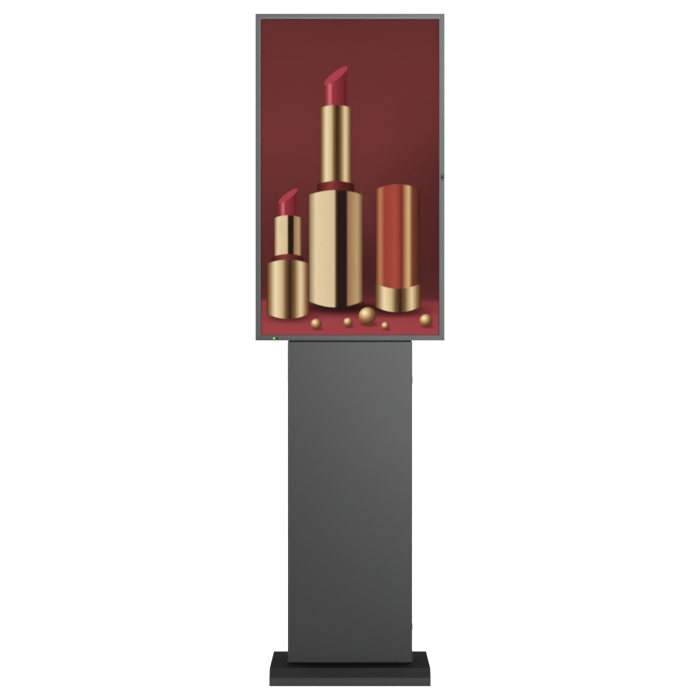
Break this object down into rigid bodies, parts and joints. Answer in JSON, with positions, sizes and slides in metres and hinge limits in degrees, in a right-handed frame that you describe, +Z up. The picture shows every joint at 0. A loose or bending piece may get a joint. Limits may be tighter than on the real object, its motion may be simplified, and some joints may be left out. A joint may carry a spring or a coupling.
{
  "type": "touchscreen kiosk",
  "caption": "Floor-standing kiosk: portrait touchscreen head on a rectangular column with a rear service door and a weighted base with a sloped front.",
  "frame": {"origin": "centre of the footprint, on the floor under the levelling feet", "axes": "+Z up, -Y towards the person using the screen, +X to their right as they face it"},
  "size_m": [0.564, 0.45, 1.9925],
  "materials": {
    "powder_base": "fine-textured dark grey powder coat",
    "powder_column": "fine-textured grey powder coat",
    "powder_head": "fine-textured dark grey powder coat",
    "raw_steel": "primed steel plate",
    "zinc_steel": "zinc-plated steel",
    "cast_zinc": "cast",
    "anodised_frame": "satin grey anodised",
    "cover_glass": "polished toughened glass",
    "sensor_film": "clear film",
    "lcd_panel": "lit picture",
    "diffuser": "white diffuser sheet",
    "circuit_board": "solder-masked board",
    "lamp_green": "lit light pipe",
    "dark_window": "tinted plastic",
    "black_plastic": "moulded",
    "foot_plastic": "moulded glass-filled nylon",
    "lock_metal": "nickel plated",
    "player_case": "black finned case",
    "button_metal": "turned",
    "cable_jacket": "matt jacket",
    "contact_brass": "nickel-plated brass"
  },
  "bodies": {
    "stand": {"base_cover": "powder_base", "base_plate": "raw_steel", "cover_screws": "zinc_steel", "column_flange": "powder_base", "column_bolts": "zinc_steel", "power_inlet": "black_plastic", "inlet_pins": "contact_brass", "column_shell": "powder_column", "column_frame": "zinc_steel", "top_cap": "powder_column", "rear_panel": "powder_column", "panel_screws": "zinc_steel", "fan_frame": "black_plastic", "fan_guard": "zinc_steel", "lock_keepers": "zinc_steel", "equipment_plate": "zinc_steel", "media_player": "player_case", "power_strip": "black_plastic", "mains_cable": "cable_jacket", "head_harness": "cable_jacket", "hinge_leaves_fixed": "zinc_steel", "hinge_pins": "zinc_steel", "wall_bracket": "powder_head", "bracket_bolts": "zinc_steel", "hook_rails": "powder_head", "rail_screws": "zinc_steel", "frame_left": "anodised_frame", "frame_right": "anodised_frame", "frame_top": "anodised_frame", "frame_bottom": "anodised_frame", "corner_brackets": "cast_zinc", "cover_glass": "cover_glass", "touch_sensor": "sensor_film", "lcd_panel": "lcd_panel", "diffuser": "diffuser", "panel_chassis": "zinc_steel", "rear_cover": "powder_head", "main_board": "circuit_board", "power_board": "circuit_board", "speakers": "black_plastic", "power_lamp": "lamp_green", "ir_window": "dark_window", "sensor_bezel": "dark_window", "keypad_board": "circuit_board"},
    "door": {"door_panel": "powder_column", "hinge_leaves_door": "zinc_steel", "lock_bodies": "lock_metal", "lock_nuts": "zinc_steel"},
    "lock_upper": {"lock_cam_upper": "lock_metal"},
    "lock_lower": {"lock_cam_lower": "lock_metal"},
    "rocker": {"rocker": "black_plastic"},
    "fan": {"fan_rotor": "black_plastic"},
    "player_button": {"player_button": "button_metal"},
    "key_power": {"key_power": "black_plastic"},
    "key_up": {"key_up": "black_plastic"},
    "key_down": {"key_down": "black_plastic"},
    "foot_front_left": {"foot_front_left": "foot_plastic"},
    "foot_front_right": {"foot_front_right": "foot_plastic"},
    "foot_rear_left": {"foot_rear_left": "foot_plastic"},
    "foot_rear_right": {"foot_rear_right": "foot_plastic"}
  },
  "joints": [
    {"name": "door_hinge", "type": "hinge", "parent": "stand", "child": "door", "pos_m": [-0.17, 0.1, 0.525], "axis": [0, 0, 1], "range_deg": [0, 170]},
    {"name": "lock_upper_turn", "type": "hinge", "parent": "door", "child": "lock_upper", "pos_m": [0.175, 0.058, 0.896], "axis": [-1, 0, 0], "range_deg": [0, 90]},
    {"name": "lock_lower_turn", "type": "hinge", "parent": "door", "child": "lock_lower", "pos_m": [0.175, 0.058, 0.145], "axis": [-1, 0, 0], "range_deg": [0, 90]},
    {"name": "rocker_tilt", "type": "hinge", "parent": "stand", "child": "rocker", "pos_m": [-0.103, 0.21874, 0.032], "axis": [-1, 0, 0], "range_deg": [0, 14]},
    {"name": "fan_spin", "type": "hinge", "parent": "stand", "child": "fan", "pos_m": [0, 0.079, 1.64], "axis": [0, 1, 0], "continuous": true},
    {"name": "player_button_press", "type": "slide", "parent": "stand", "child": "player_button", "axis": [0, -1, 0], "range_m": [0, 0.0008], "stiffness_N_per_m": 400},
    {"name": "key_power_press", "type": "slide", "parent": "stand", "child": "key_power", "axis": [0, -1, 0], "range_m": [0, 0.001], "stiffness_N_per_m": 300},
    {"name": "key_up_press", "type": "slide", "parent": "stand", "child": "key_up", "axis": [0, -1, 0], "range_m": [0, 0.001], "stiffness_N_per_m": 300},
    {"name": "key_down_press", "type": "slide", "parent": "stand", "child": "key_down", "axis": [0, -1, 0], "range_m": [0, 0.001], "stiffness_N_per_m": 300},
    {"name": "foot_front_left_level", "type": "slide", "parent": "stand", "child": "foot_front_left", "axis": [0, 0, -1], "range_m": [0, 0.012]},
    {"name": "foot_front_right_level", "type": "slide", "parent": "stand", "child": "foot_front_right", "axis": [0, 0, -1], "range_m": [0, 0.012]},
    {"name": "foot_rear_left_level", "type": "slide", "parent": "stand", "child": "foot_rear_left", "axis": [0, 0, -1], "range_m": [0, 0.012]},
    {"name": "foot_rear_right_level", "type": "slide", "parent": "stand", "child": "foot_rear_right", "axis": [0, 0, -1], "range_m": [0, 0.012]}
  ]
}
